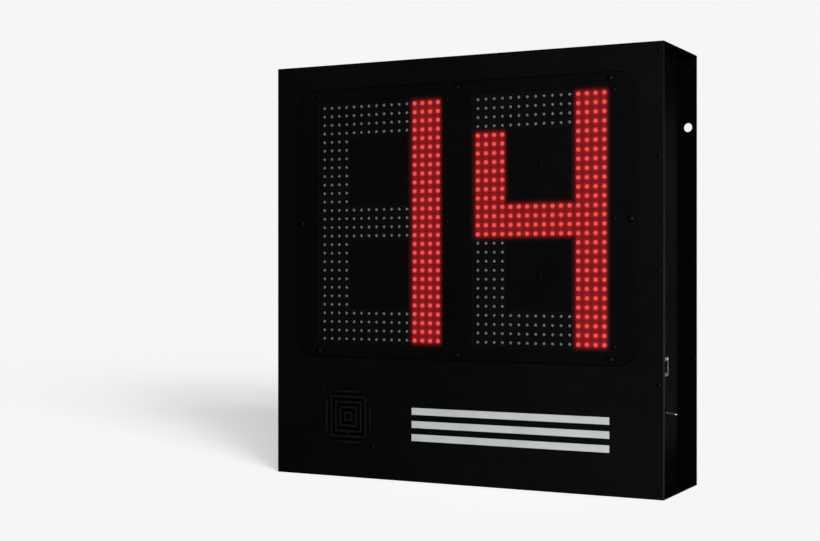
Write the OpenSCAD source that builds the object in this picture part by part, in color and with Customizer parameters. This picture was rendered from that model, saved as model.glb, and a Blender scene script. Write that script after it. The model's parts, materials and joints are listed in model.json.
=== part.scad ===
// Two-digit LED display cabinet with a sounder, a side connector and a power switch.
// Millimetres. The origin is at the middle of the underside. +Z is up and the display faces -Y.

/* [Cabinet] */
// Width over the side flanges
cabinet_w = 612; // [600:1:900]
// Height over the top and bottom plates
cabinet_h = 612; // [610:1:900]
// Depth from the front panel's face to the back panel's face
cabinet_d = 150; // [110:1:260]
// Thickness of the front panel
front_t = 3; // [2:0.5:4]
// Thickness of the back panel, the end plates and the side channels
sheet_t = 2; // [1:0.5:3]
// Depth of the open channel down each side
recess_w = 25; // [20:1:35]
// Inside bend radius of the side channels
bend_r = 2; // [0.5:0.5:5]

/* [Digits] */
// Distance between neighbouring LEDs
led_pitch = 12.7; // [10:0.1:13]
// LED columns in one digit
led_columns = 16; // [14:1:16]
// LED rows in one digit
led_rows = 28; // [24:2:28]
// LEDs across one stroke of a digit
led_stroke = 4; // [3:1:4]
// Diameter of one LED
led_d = 5; // [3:0.5:6]
// Height of one LED above its board
led_h = 8.6; // [7:0.1:12]
// How far an LED stands out of its mask
led_stand = 2; // [1:0.1:3]
// Window edge beyond the centres of the outer LEDs
window_margin = 7.6; // [5:0.1:9]
// Space between the two digit windows
window_gap = 48.3; // [40:0.1:60]

/* [Face plate] */
// Thickness of the face plate
face_t = 2; // [1.5:0.5:3]
// Thickness of the gasket behind the face plate
gasket_t = 0.5; // [0.5:0.5:2]
// How far the gasket's edge is set in from the plate's edge
gasket_inset = 2; // [1:0.5:4]
// Face plate beyond the windows, at each side
face_side = 38.6; // [30:0.1:50]
// Face plate beyond the windows, above and below
face_end = 18.9; // [15:0.1:30]
// Corner radius of the face plate
face_corner_r = 25; // [10:1:30]
// Cabinet above the face plate
top_border = 38; // [20:1:80]
// Thickness of the LED mask
mask_t = 1.5; // [1:0.5:3]
// Thickness of the LED boards
board_t = 1.6; // [1:0.1:2.4]
// Mask and board beyond the window, at each side
board_lap_side = 12; // [10:0.5:14]
// Mask and board beyond the window, above and below
board_lap_end = 3.5; // [2:0.5:5]
// Joint between the two halves of a digit board
board_joint = 0.6; // [0.2:0.1:1]

/* [Sounder] */
// Diameter of the sounder opening
sounder_d = 88; // [70:1:110]
// Sounder's distance to the left of the cabinet's centre line
sounder_x = 184; // [150:1:200]
// Height of the sounder's centre
sounder_z = 89; // [75:1:95]
// Guard plate beyond the opening, on each side
guard_lap = 4; // [4:0.5:8]
// Width of one guard bar
guard_bar = 3.2; // [2:0.1:4]
// Distance from one square ring of the guard to the next
guard_step = 8; // [6:0.5:10]
// Depth of the guard's rings
guard_t = 2; // [1.5:0.5:4]
// Depth of the sounder behind its mounting plate
sounder_depth = 42; // [30:1:60]

/* [Side fittings] */
// Distance of the switch and the connector behind the front face
fitting_y = 79; // [60:0.5:100]
// Height of the connector's centre
connector_z = 172; // [150:1:400]
// Width of the connector flange, front to back
connector_w = 25.5; // [24:0.5:32]
// Height of the connector flange
connector_h = 26.5; // [26:0.5:36]
// Outside diameter of the connector's barrel
connector_d = 21; // [16:0.5:21]
// Height of the switch
switch_z = 108.5; // [60:0.5:130]
// Diameter of the switch bushing
bushing_d = 6.35; // [6:0.05:12]
// Lever's length outside the bushing
lever_l = 12.5; // [8:0.5:15]
// Lever's angle below level at rest
lever_tilt = 6; // [4:1:8]
// Radial play of the lever's pivot pin
pivot_play = 0.05; // [0.01:0.01:0.1]

/* [Fixing] */
// Diameter of the hanging holes
hang_d = 12.8; // [8:0.1:16]
// Hanging holes below the cabinet's top
hang_drop = 102; // [60:1:200]
// Diameter of the face plate's screw heads
screw_head_d = 9.5; // [8:0.1:12]
// Diameter of the face plate's screws
screw_d = 5; // [4:0.5:6]
// Diameter of the blind rivets' shanks
rivet_d = 3.2; // [2.4:0.1:4]
// Radial room round a screw or a rivet
hole_play = 0.15; // [0.05:0.05:0.5]

/* [Hidden] */
$fn = 48;

// Main planes of the cabinet
front_y = -cabinet_d / 2;
panel_back_y = front_y + front_t;
back_y = cabinet_d / 2;
back_panel_y = back_y - sheet_t;
web_x = cabinet_w / 2 - recess_w;
wall_x = web_x - sheet_t;
plate_top_z = cabinet_h - sheet_t;
tab_in = sheet_t + bend_r;

// Digit windows and the boards behind them
window_w = (led_columns - 1) * led_pitch + 2 * window_margin;
window_h = (led_rows - 1) * led_pitch + 2 * window_margin;
digit_x = (window_w + window_gap) / 2;
face_w = 2 * window_w + window_gap + 2 * face_side;
face_h = window_h + 2 * face_end;
face_z = cabinet_h - top_border - face_h / 2;
hole_columns = led_columns - 2 * led_stroke;
bar_rows = (led_rows - 3 * led_stroke) / 2;
square_w = (hole_columns + 1) * led_pitch - 2 * window_margin;
square_h = (bar_rows + 1) * led_pitch - 2 * window_margin;
square_dz = (bar_rows + led_stroke) / 2 * led_pitch;
board_w = window_w + 2 * board_lap_side;
board_h = window_h + 2 * board_lap_end;
cutout_gap = 2;
cutout_w = 2 * digit_x + board_w + 2 * cutout_gap;
cutout_h = board_h + 2 * cutout_gap;

// Layers of the display, from the front
gasket_y = front_y - gasket_t;
face_y = gasket_y - face_t;
mask_y = gasket_y;
mask_back_y = mask_y + mask_t;
led_tip_y = mask_y - led_stand;
board_y = led_tip_y + led_h;
board_back_y = board_y + board_t;
led_hole_play = 0.3;

// Face plate screws
screw_inset = 7.4;
corner_screw_in = 37.2;
screw_dx = face_w / 2 - corner_screw_in;
screw_dz = face_h / 2 - screw_inset;
screw_places = concat(
    [for (sx = [-1, 0, 1], sz = [-1, 1]) [sx * screw_dx, face_z + sz * screw_dz]],
    [for (sx = [-1, 1]) [sx * (face_w / 2 - screw_inset), face_z]]
);
screw_head_h = 3.5;
screw_crown_r = screw_head_d / 3;
slot_w = 1.2;
slot_deep = 1.5;
slot_turn = 35;
face_nut_d = 9;
face_nut_h = 4;
screw_tail = 3;

// Digit rivets: six round each window and one in each centre square
rivet_side_gap = 6.1;
rivet_end_gap = 5;
rivet_dx = window_w / 2 + rivet_side_gap;
rivet_dz = window_h / 2 - rivet_end_gap;
digit_rivet_places = concat(
    [for (x = [-digit_x, digit_x], sx = [-1, 1], sz = [-1, 0, 1])
        [x + sx * rivet_dx, face_z + sz * rivet_dz]],
    [for (x = [-digit_x, digit_x], sz = [-1, 1]) [x, face_z + sz * square_dz]]
);
rivet_r = rivet_d / 2;
rivet_head_r = 2 * rivet_r;
rivet_head_h = 1.3;
rivet_tail_r = 1.7 * rivet_r;
rivet_tail_l = 3.5;
mandrel_r = 0.55 * rivet_r;
spacer_r = 3.4;

// Cabinet rivets
edge_rivet_x = cabinet_w / 2 - 7;
end_row_in = 12.5;
edge_rows = [end_row_in, cabinet_h / 4, cabinet_h / 2, cabinet_h * 3 / 4, cabinet_h - end_row_in];
back_rows = [cabinet_h / 4, cabinet_h / 2, cabinet_h * 3 / 4];
flange_x = cabinet_w / 2 - recess_w / 2;
end_rivet_ys = [front_y + 22, front_y + 85];
edge_rivet_r = 1.3;
edge_head_r = 2.6;
edge_head_h = 1;
edge_tail_r = 2.1;
edge_tail_l = 3;

// Three plain stripes on the front panel
stripe_l = 304;
stripe_h = 10;
stripe_step = 19;
stripe_x = -75;
stripe_z = 59;
stripe_t = 0.15;

// Sounder
sounder_r = sounder_d / 2;
guard_half = sounder_r + guard_lap;
guard_screw_in = 5.4;
guard_screw_at = guard_half - guard_screw_in;
guard_first = 5.5;
guard_rings = floor((sounder_r - guard_first) / guard_step) + 1;
guard_rib = 1;
guard_rib_step = 8.4;
guard_rib_t = 1;
guard_rib_count = floor((sounder_r - guard_first) / guard_rib_step);
boss_drops = [0.57 * sounder_r, 0.86 * sounder_r];
boss_r = 2.6;
boss_hole_r = 1.2;
guard_y = panel_back_y;
guard_back_y = guard_y + guard_t + guard_rib_t;
frame_plate_t = 2;
frame_wall = 2;
sounder_nut_y = guard_back_y + frame_plate_t;
frame_r = guard_screw_at - 3;
frame_back_y = guard_back_y + frame_plate_t + sounder_depth;
cone_r = frame_r - frame_wall;
cone_front_y = guard_back_y + frame_plate_t + 2;
cone_deep = 18;
cone_neck_r = 12;
cone_t = 1;
coil_y = cone_front_y + cone_deep;
magnet_r = 24;
magnet_h = 14;
magnet_y = frame_back_y - frame_wall - magnet_h;
sounder_screw_r = 2;
sounder_head_r = 3.4;
sounder_head_h = 1.8;
sounder_nut_h = 3;
terminal_w = 12;
terminal_l = 8;
terminal_dz = 20;
tag_t = 0.8;
sounder_nut_r = 3.9;
cap_h = 4;
cone_lip = 5;

// Side fittings
side_y = front_y + fitting_y;
flange_t = 1.6;
connector_r = connector_d / 2;
connector_wall = 1.5;
connector_depth = 24;
insert_t = 9;
contact_r = 0.9;
contact_ring_r = 5.2;
contact_count = 6;
contact_front = 8;
contact_back = 5;
connector_screw_in = 3;
connector_screw_r = 1.3;
connector_head_r = 2.3;
connector_head_h = 1;
connector_tail = 4;
connector_nut_r = 2.9;
connector_nut_h = 2;
connector_corner_r = 2.5;
case_l = 13;
case_w = 8;
case_deep = 11;
case_wall = 1;
bushing_l = 8;
bushing_r = bushing_d / 2;
washer_t = 0.6;
washer_lap = 1.4;
nut_t = 3;
nut_flats = bushing_d + 1.8;
ball_r = 2.2;
lever_neck_r = 1.9;
lever_tip_r = 2.1;
tail_r = 0.7;
tail_l = 7.5;
tail_hole_r = 2.2;
pivot_r = 0.5;
bore_r = ball_r + 0.15;
mouth_r = bushing_r - 0.25;
mouth_in = 0.5;
pin_inset = 0.3;
pivot_x = wall_x + sheet_t + 1;
bushing_x = wall_x;
case_x = wall_x - case_deep;
lever_reach = bushing_x + bushing_l + lever_l - pivot_x - lever_tip_r;
lug_l = 5;
lug_w = 2;
lug_step = 4.5;

// Control board on the back panel
board_x = 60;
board_z = 110;
control_w = 170;
control_h = 110;
control_t = 1.6;
standoff_h = 8;
standoff_r = 3;
control_back_y = back_panel_y - standoff_h;
control_front_y = control_back_y - control_t;
control_hole_in = 6;
board_screw_r = 1.5;
board_head_r = 2.8;
board_head_h = 2;
standoff_places = [for (sx = [-1, 1], sz = [-1, 1])
    [board_x + sx * (control_w / 2 - control_hole_in), board_z + sz * (control_h / 2 - control_hole_in)]];
header_h = 9;
header_w = 40;
header_t = 8;
header_dx = 30;
socket_w = 20;
socket_t = 8;
socket_dx = 22;
socket_dz = 44.5;
capacitor_r = 8;
capacitor_h = 25;
converter_x = -200;
converter_z = 190;
converter_w = 90;
converter_h = 80;
converter_t = 32;
header_z = face_z - window_h / 2 + 30;
block_l = 60;
block_h = 12;
block_t = 11;
block_dz = 20 - control_h / 2;
block_z = board_z + block_dz;
ribbon_w = socket_w - 2;
ribbon_t = 1.2;
ribbon_bend = 40;
loom_d = 6;
lead_d = 3;
loom_bend = 60;
lead_bend = 50;
lead_dx = 20;

// ---- Helpers ----

// A flat outline in width and height, given a thickness that runs forwards from y
module sheet(y, t) {
    translate([0, y, 0]) rotate([90, 0, 0]) linear_extrude(t) children();
}

// A rod along +Y that starts at [x, y, z]
module rod_y(at, r, l) {
    translate(at) rotate([-90, 0, 0]) cylinder(h = l, r = r);
}

// A rod along +X that starts at [x, y, z]
module rod_x(at, r, l) {
    translate(at) rotate([0, 90, 0]) cylinder(h = l, r = r);
}

// A block between two opposite corners
module block(low, high) {
    translate(low) cube(high - low);
}

// A centred rectangle at [x, z]
module panel_rect(at, w, h) {
    translate(at) square([w, h], center = true);
}

// A centred rectangle with round corners
module round_rect(w, h, r) {
    square([w - 2 * r, h], center = true);
    square([w, h - 2 * r], center = true);
    for (sx = [-1, 1], sz = [-1, 1]) translate([sx * (w / 2 - r), sz * (h / 2 - r)]) circle(r);
}

// Holes of one radius at a list of [x, z] places
module holes(places, r) {
    for (p = places) translate(p) circle(r);
}

// A blind rivet whose head faces -Y, with its grip from y_front to y_back
module blind_rivet(at, y_front, y_back) {
    difference() {
        union() {
            rod_y([at.x, y_front - rivet_head_h / 2, at.y], rivet_head_r, rivet_head_h / 2);
            translate([at.x, y_front - rivet_head_h, at.y]) rotate([-90, 0, 0])
                cylinder(h = rivet_head_h / 2, r1 = rivet_head_r * 0.7, r2 = rivet_head_r);
            rod_y([at.x, y_front, at.y], rivet_r, y_back - y_front);
            rod_y([at.x, y_back, at.y], rivet_tail_r, rivet_tail_l);
        }
        rod_y([at.x, y_front - rivet_head_h - 1, at.y], mandrel_r, rivet_head_h + 3);
    }
}

// A cable's section is carried along a cubic curve that leaves a towards b and reaches d from c.
// The section's first axis stays square to guide.
cable_steps = 14;
function unit(v) = v / norm(v);
function curve_at(a, b, c, d, t) =
    let (s = 1 - t) s * s * s * a + 3 * s * s * t * b + 3 * s * t * t * c + t * t * t * d;
function curve_way(a, b, c, d, t) =
    let (s = 1 - t) unit(s * s * (b - a) + 2 * s * t * (c - b) + t * t * (d - c));
function ring(a, b, c, d, t, section, guide) =
    let (w = curve_way(a, b, c, d, t), u = unit(cross(guide, w)), v = cross(w, u))
    [for (s = section) curve_at(a, b, c, d, t) + s.x * u + s.y * v];
module cable(a, b, c, d, section, guide) {
    n = len(section);
    last = cable_steps * n;
    points = [for (i = [0 : cable_steps]) each ring(a, b, c, d, i / cable_steps, section, guide)];
    walls = [for (i = [0 : cable_steps - 1], j = [0 : n - 1])
        [i * n + j, (i + 1) * n + j, (i + 1) * n + (j + 1) % n, i * n + (j + 1) % n]];
    caps = [[for (j = [0 : n - 1]) j], [for (j = [n - 1 : -1 : 0]) last + j]];
    polyhedron(points = points, faces = concat(walls, caps), convexity = 6);
}
function round_section(d, n = 8) = [for (i = [0 : n - 1]) d / 2 * [cos(360 * i / n), sin(360 * i / n)]];
function flat_section(w, t) = [[-w / 2, -t / 2], [w / 2, -t / 2], [w / 2, t / 2], [-w / 2, t / 2]];

// ---- Cabinet ----

module front_panel() color([0.05, 0.05, 0.05]) sheet(panel_back_y, front_t) difference() {
    translate([0, cabinet_h / 2]) square([cabinet_w, cabinet_h], center = true);
    panel_rect([0, face_z], cutout_w, cutout_h);
    translate([-sounder_x, sounder_z]) circle(sounder_r, $fn = 96);
    holes(screw_places, screw_d / 2 + hole_play);
    holes([for (sx = [-1, 1], z = edge_rows) [sx * edge_rivet_x, z]], edge_rivet_r + hole_play);
    holes(sounder_screw_places(), sounder_screw_r + hole_play);
}

module back_panel() color([0.06, 0.06, 0.06]) difference() {
    sheet(back_y, sheet_t) difference() {
        translate([0, cabinet_h / 2]) square([cabinet_w, cabinet_h], center = true);
        holes([for (sx = [-1, 1]) [sx * flange_x, cabinet_h - hang_drop]], hang_d / 2);
        holes([for (sx = [-1, 1], z = back_rows) [sx * flange_x, z]], rivet_r + hole_play);
        holes(standoff_places, board_screw_r + hole_play);
    }
    for (sx = [-1, 1], z = back_rows)
        rod_y([sx * flange_x, back_y - sheet_t / 2, z], rivet_head_r + hole_play, sheet_t);
}

// One end plate, between the front and back panels
module end_plate(z) {
    difference() {
        block([-cabinet_w / 2, panel_back_y, z], [cabinet_w / 2, back_panel_y, z + sheet_t]);
        for (sx = [-1, 1], y = end_rivet_ys)
            translate([sx * flange_x, y, z - 1]) cylinder(h = sheet_t + 2, r = rivet_r + hole_play);
    }
}
module top_plate() color([0.06, 0.06, 0.06]) end_plate(plate_top_z);
module bottom_plate() color([0.06, 0.06, 0.06]) end_plate(0);

// The channel's section, seen from above: web, two flanges and two bends
module bend(x, y, from_y) {
    translate([x, y]) difference() {
        circle(bend_r + sheet_t);
        circle(bend_r);
        translate([0, -2 * recess_w]) square([2 * recess_w, 4 * recess_w]);
        translate([-2 * recess_w, from_y]) square([4 * recess_w, 2 * recess_w]);
    }
}
module channel_section() {
    y0 = panel_back_y;
    y1 = back_panel_y;
    straight = sheet_t + bend_r;
    translate([wall_x, y0 + straight]) square([sheet_t, y1 - y0 - 2 * straight]);
    translate([web_x + bend_r, y0]) square([recess_w - bend_r, sheet_t]);
    translate([web_x + bend_r, y1 - sheet_t]) square([recess_w - bend_r, sheet_t]);
    bend(web_x + bend_r, y0 + straight, 0);
    bend(web_x + bend_r, y1 - straight, -2 * recess_w);
}

// A side channel, as it stands on the right
module side_channel() {
    difference() {
        translate([0, 0, sheet_t]) linear_extrude(plate_top_z - sheet_t) channel_section();
        for (z = edge_rows)
            rod_y([edge_rivet_x, panel_back_y - 1, z], edge_rivet_r + hole_play, sheet_t + 2);
        for (z = back_rows)
            rod_y([flange_x, back_panel_y - sheet_t - 1, z], rivet_r + hole_play, sheet_t + 2);
        rod_y([flange_x, back_panel_y - sheet_t - 1, cabinet_h - hang_drop], hang_d / 2, sheet_t + 2);
    }
}
module left_channel() color([0.08, 0.08, 0.09]) mirror([1, 0, 0]) side_channel();
module right_channel() color([0.08, 0.08, 0.09]) difference() {
    side_channel();
    rod_x([wall_x - 1, side_y, connector_z], connector_r + hole_play, sheet_t + 2);
    for (p = connector_screw_places())
        rod_x([wall_x - 1, p.x, p.y], connector_screw_r + hole_play, sheet_t + 2);
    rod_x([wall_x - 1, side_y, switch_z], bushing_r + hole_play, sheet_t + 2);
}

// Tabs that join the channels' webs to the end plates
module end_tabs() color([0.08, 0.08, 0.09])
    for (sx = [-1, 1], z = [sheet_t, plate_top_z - sheet_t]) difference() {
        block([min(sx * web_x, sx * cabinet_w / 2), panel_back_y + tab_in, z],
              [max(sx * web_x, sx * cabinet_w / 2), back_panel_y - tab_in, z + sheet_t]);
        for (y = end_rivet_ys)
            translate([sx * flange_x, y, z - 1]) cylinder(h = sheet_t + 2, r = rivet_r + hole_play);
    }

// Small domed rivets down both edges of the front panel
module front_rivets() color([0.35, 0.35, 0.36]) for (sx = [-1, 1], z = edge_rows) {
    x = sx * edge_rivet_x;
    union() {
        translate([x, front_y, z]) rotate([90, 0, 0])
            cylinder(h = edge_head_h, r1 = edge_head_r, r2 = edge_head_r / 2);
        rod_y([x, front_y, z], edge_rivet_r, front_t + sheet_t);
        rod_y([x, panel_back_y + sheet_t, z], edge_tail_r, edge_tail_l);
    }
}

// Rivets with flush heads in the back panel and their tails in the side channels
module back_rivets() color([0.1, 0.1, 0.1]) for (sx = [-1, 1], z = back_rows) union() {
    rod_y([sx * flange_x, back_y - sheet_t / 2, z], rivet_head_r, sheet_t / 2);
    rod_y([sx * flange_x, back_panel_y - sheet_t, z], rivet_r, 1.5 * sheet_t);
    rod_y([sx * flange_x, back_panel_y - sheet_t - rivet_tail_l, z], rivet_tail_r, rivet_tail_l);
}

// Rivets that hold the end plates to the channels' tabs
module end_rivets() color([0.12, 0.12, 0.12]) for (sx = [-1, 1], y = end_rivet_ys) {
    translate([sx * flange_x, y, 0]) cylinder(h = 2 * sheet_t, r = rivet_r);
    translate([sx * flange_x, y, 2 * sheet_t]) cylinder(h = rivet_tail_l, r = rivet_tail_r);
    translate([sx * flange_x, y, cabinet_h - 2 * sheet_t]) cylinder(h = 2 * sheet_t, r = rivet_r);
    translate([sx * flange_x, y, cabinet_h - 2 * sheet_t - rivet_tail_l])
        cylinder(h = rivet_tail_l, r = rivet_tail_r);
}

module front_stripes() color([0.75, 0.75, 0.75]) for (i = [0 : 2])
    block([stripe_x, front_y - stripe_t, stripe_z + i * stripe_step],
          [stripe_x + stripe_l, front_y, stripe_z + i * stripe_step + stripe_h]);

// ---- Display ----

// Both figure-eight windows, without their centre squares
module windows() {
    for (x = [-digit_x, digit_x]) panel_rect([x, face_z], window_w, window_h);
}
module face_plate() color([0.04, 0.04, 0.04]) sheet(gasket_y, face_t) difference() {
    translate([0, face_z]) round_rect(face_w, face_h, face_corner_r);
    windows();
    holes(screw_places, screw_d / 2 + hole_play);
    holes([for (i = [0 : 11]) digit_rivet_places[i]], rivet_r + hole_play);
}
module window_squares() color([0.04, 0.04, 0.04]) for (x = [-digit_x, digit_x], sz = [-1, 1])
    sheet(gasket_y, face_t) difference() {
        panel_rect([x, face_z + sz * square_dz], square_w, square_h);
        translate([x, face_z + sz * square_dz]) circle(rivet_r + hole_play);
    }
module face_gasket() color([0.02, 0.02, 0.02]) sheet(front_y, gasket_t) difference() {
    translate([0, face_z])
        round_rect(face_w - 2 * gasket_inset, face_h - 2 * gasket_inset, face_corner_r - gasket_inset);
    panel_rect([0, face_z], cutout_w, cutout_h);
    holes(screw_places, screw_d / 2 + hole_play);
}

// Slotted round-head screws
module face_screws() color([0.3, 0.3, 0.3]) for (p = screw_places) difference() {
    union() {
        rod_y([p.x, face_y - screw_head_h / 2, p.y], screw_head_d / 2, screw_head_h / 2);
        translate([p.x, face_y - screw_head_h, p.y]) rotate([-90, 0, 0])
            cylinder(h = screw_head_h / 2, r1 = screw_crown_r, r2 = screw_head_d / 2);
        rod_y([p.x, face_y, p.y], screw_d / 2, panel_back_y - face_y + face_nut_h + screw_tail);
    }
    translate([p.x, face_y - screw_head_h, p.y]) rotate([0, slot_turn, 0])
        cube([screw_head_d + 1, 2 * slot_deep, slot_w], center = true);
}
module face_nuts() color([0.6, 0.6, 0.62]) for (p = screw_places) difference() {
    rod_y([p.x, panel_back_y, p.y], face_nut_d / 2, face_nut_h);
    rod_y([p.x, panel_back_y - 1, p.y], screw_d / 2, face_nut_h + 2);
}

// Places of the LEDs in one digit, as [column, row] counted from the top left
function in_eight(c, r) = c < led_stroke || c >= led_columns - led_stroke || r < led_stroke
    || r >= led_rows - led_stroke || (r >= led_stroke + bar_rows && r < 2 * led_stroke + bar_rows);
function in_one(c, r) = c >= led_columns - led_stroke;
function in_four(c, r) = c >= led_columns - led_stroke
    || (r >= led_stroke + bar_rows && r < 2 * led_stroke + bar_rows)
    || (c < led_stroke && r >= led_stroke && r < led_stroke + bar_rows);
cells = [for (c = [0 : led_columns - 1], r = [0 : led_rows - 1]) if (in_eight(c, r)) [c, r]];
function led_at(x, cell) =
    [x + (cell.x - (led_columns - 1) / 2) * led_pitch, face_z + ((led_rows - 1) / 2 - cell.y) * led_pitch];
left_lit = [for (k = cells) if (in_one(k.x, k.y)) led_at(-digit_x, k)];
left_unlit = [for (k = cells) if (!in_one(k.x, k.y)) led_at(-digit_x, k)];
right_lit = [for (k = cells) if (in_four(k.x, k.y)) led_at(digit_x, k)];
right_unlit = [for (k = cells) if (!in_four(k.x, k.y)) led_at(digit_x, k)];

function board_rivets(x) = [for (p = digit_rivet_places) if (sign(p.x) == sign(x)) p];
module digit_outline(x) {
    difference() {
        panel_rect([x, face_z], board_w, board_h);
        holes(board_rivets(x), rivet_r + hole_play);
    }
}
module led_mask(x) {
    sheet(mask_back_y, mask_t) difference() {
        digit_outline(x);
        holes([for (k = cells) led_at(x, k)], led_d / 2 + led_hole_play);
    }
}
module left_mask() color([0.08, 0.08, 0.1]) led_mask(-digit_x);
module right_mask() color([0.08, 0.08, 0.1]) led_mask(digit_x);

// Each digit board is made in two halves
module digit_board(x) {
    for (side = [-1, 1]) sheet(board_back_y, board_t) intersection() {
        digit_outline(x);
        panel_rect([x + side * (board_w + board_joint) / 2, face_z], board_w, board_h + 2);
    }
}
module left_board() color([0.02, 0.12, 0.06]) digit_board(-digit_x);
module right_board() color([0.02, 0.12, 0.06]) digit_board(digit_x);

module board_spacers() color([0.7, 0.7, 0.72]) for (p = digit_rivet_places) difference() {
    rod_y([p.x, mask_back_y, p.y], spacer_r, board_y - mask_back_y);
    rod_y([p.x, mask_back_y - 1, p.y], rivet_r + hole_play, board_y - mask_back_y + 2);
}
module digit_rivets() color([0.4, 0.4, 0.42])
    for (p = digit_rivet_places) blind_rivet(p, face_y, board_back_y);

// One LED: flange, barrel and a two-step dome
led_r = led_d / 2;
led_flange_r = led_r + 0.4;
led_flange_h = 1;
led_profile = [
    [0, 0], [led_flange_r, 0], [led_flange_r, led_flange_h], [led_r, led_flange_h], [led_r, led_h - led_r],
    [led_r * 0.75, led_h - led_r * 0.35], [led_r * 0.3, led_h], [0, led_h]
];
module leds(places) {
    for (p = places) translate([p.x, board_y, p.y]) rotate([90, 0, 0])
        rotate_extrude($fn = 16) polygon(led_profile);
}
module left_leds_lit() color([1, 0.2, 0.2]) leds(left_lit);
module left_leds_unlit() color([0.4, 0.4, 0.4]) leds(left_unlit);
module right_leds_lit() color([1, 0.2, 0.2]) leds(right_lit);
module right_leds_unlit() color([0.4, 0.4, 0.4]) leds(right_unlit);

// Parts on the backs of the digit boards
chip_rows = 5;
chip_columns = 4;
chip_dx = window_w / (chip_columns + 0.2);
chip_dz = window_h / (chip_rows + 1);
chip_size = [10, 2.5, 16];
module driver_chips() color([0.05, 0.05, 0.05])
    for (x = [-digit_x, digit_x], c = [0 : chip_columns - 1], r = [0 : chip_rows - 1])
        translate([x + (c - (chip_columns - 1) / 2) * chip_dx - chip_size.x / 2, board_back_y,
                   face_z + (r - (chip_rows - 1) / 2) * chip_dz - chip_size.z / 2]) cube(chip_size);
module ribbon_headers() color([0.1, 0.1, 0.1]) for (x = [-digit_x, digit_x])
    block([x + header_dx - header_w / 2, board_back_y, header_z - header_h / 2],
          [x + header_dx + header_w / 2, board_back_y + header_t, header_z + header_h / 2]);

// ---- Sounder ----

function sounder_screw_places() = [
    [-sounder_x - guard_screw_at, sounder_z + guard_screw_at],
    [-sounder_x + guard_screw_at, sounder_z - guard_screw_at]
];
module guard_screw_holes() {
    holes([for (s = [-1, 1]) [s * guard_screw_at, -s * guard_screw_at]], sounder_screw_r + hole_play);
}
module guard_ring(half) {
    difference() {
        square(2 * half + guard_bar, center = true);
        square(2 * half - guard_bar, center = true);
    }
}
module guard_opening() {
    difference() {
        square(2 * guard_half, center = true);
        circle(sounder_r + 1, $fn = 96);
        guard_screw_holes();
    }
}
module guard_ribs() {
    intersection() {
        circle(sounder_r + 2, $fn = 96);
        for (i = [-guard_rib_count : guard_rib_count]) {
            translate([i * guard_rib_step, 0]) square([guard_rib, 2 * guard_half], center = true);
            translate([0, i * guard_rib_step]) square([2 * guard_half, guard_rib], center = true);
        }
    }
}
module sounder_guard() color([0.1, 0.1, 0.1]) translate([-sounder_x, 0, sounder_z]) union() {
    sheet(guard_back_y, guard_t + guard_rib_t) guard_opening();
    sheet(guard_y + guard_t, guard_t) intersection() {
        circle(sounder_r + 2, $fn = 96);
        for (i = [0 : guard_rings - 1]) guard_ring(guard_first + i * guard_step);
    }
    sheet(guard_back_y, guard_rib_t) guard_ribs();
    for (drop = boss_drops) difference() {
        rod_y([0, guard_y, -drop], boss_r, guard_t);
        rod_y([0, guard_y - 1, -drop], boss_hole_r, guard_t);
    }
}
module sounder_frame() color([0.15, 0.15, 0.16])
        translate([-sounder_x, guard_back_y, sounder_z]) difference() {
    union() {
        sheet(frame_plate_t, frame_plate_t) difference() {
            square(2 * guard_half, center = true);
            guard_screw_holes();
        }
        rod_y([0, 0, 0], frame_r, frame_plate_t + sounder_depth);
    }
    rod_y([0, -1, 0], frame_r - frame_wall, frame_plate_t + sounder_depth - frame_wall + 1);
}
module sounder_cone() color([0.12, 0.12, 0.12])
    translate([-sounder_x, cone_front_y, sounder_z]) rotate([-90, 0, 0]) rotate_extrude() polygon([
        [cone_r, 0], [cone_r, cone_t], [cone_r - cone_lip, cone_t], [cone_neck_r, cone_deep],
        [cone_neck_r - cone_t, cone_deep], [cone_neck_r - cone_t, cone_deep - cone_t],
        [cone_r - cone_lip - cone_t, 0]
    ]);
module sounder_cap() color([0.1, 0.1, 0.1])
        translate([-sounder_x, cone_front_y, sounder_z]) rotate([-90, 0, 0]) union() {
    translate([0, 0, cone_deep - cone_t]) cylinder(h = cone_t, r = cone_neck_r - cone_t);
    translate([0, 0, cone_deep - cone_t - cap_h])
        cylinder(h = cap_h, r1 = cone_neck_r / 2, r2 = cone_neck_r - cone_t);
}
// The voice coil joins the cone's neck to the magnet
module sounder_coil() color([0.6, 0.35, 0.15]) difference() {
    rod_y([-sounder_x, coil_y, sounder_z], cone_neck_r, magnet_y - coil_y);
    rod_y([-sounder_x, coil_y - 1, sounder_z], cone_neck_r - cone_t, magnet_y - coil_y + 2);
}
module sounder_magnet() color([0.3, 0.3, 0.32])
    rod_y([-sounder_x, magnet_y, sounder_z], magnet_r, magnet_h);
module sounder_screws() color([0.3, 0.3, 0.3]) for (p = sounder_screw_places()) union() {
    translate([p.x, front_y, p.y]) rotate([90, 0, 0])
        cylinder(h = sounder_head_h, r1 = sounder_head_r, r2 = sounder_head_r / 2);
    rod_y([p.x, front_y, p.y], sounder_screw_r, sounder_nut_y + sounder_nut_h + 2 - front_y);
}
module sounder_nuts() color([0.6, 0.6, 0.62]) for (p = sounder_screw_places()) difference() {
    translate([p.x, sounder_nut_y, p.y]) rotate([-90, 0, 0])
        cylinder(h = sounder_nut_h, r = sounder_nut_r, $fn = 6);
    rod_y([p.x, sounder_nut_y - 1, p.y], sounder_screw_r, sounder_nut_h + 2);
}
module sounder_terminals() color([0.8, 0.7, 0.4])
    block([-sounder_x - terminal_w / 2, frame_back_y, sounder_z + terminal_dz - tag_t / 2],
          [-sounder_x + terminal_w / 2, frame_back_y + terminal_l, sounder_z + terminal_dz + tag_t / 2]);

// ---- Side connector ----

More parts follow.
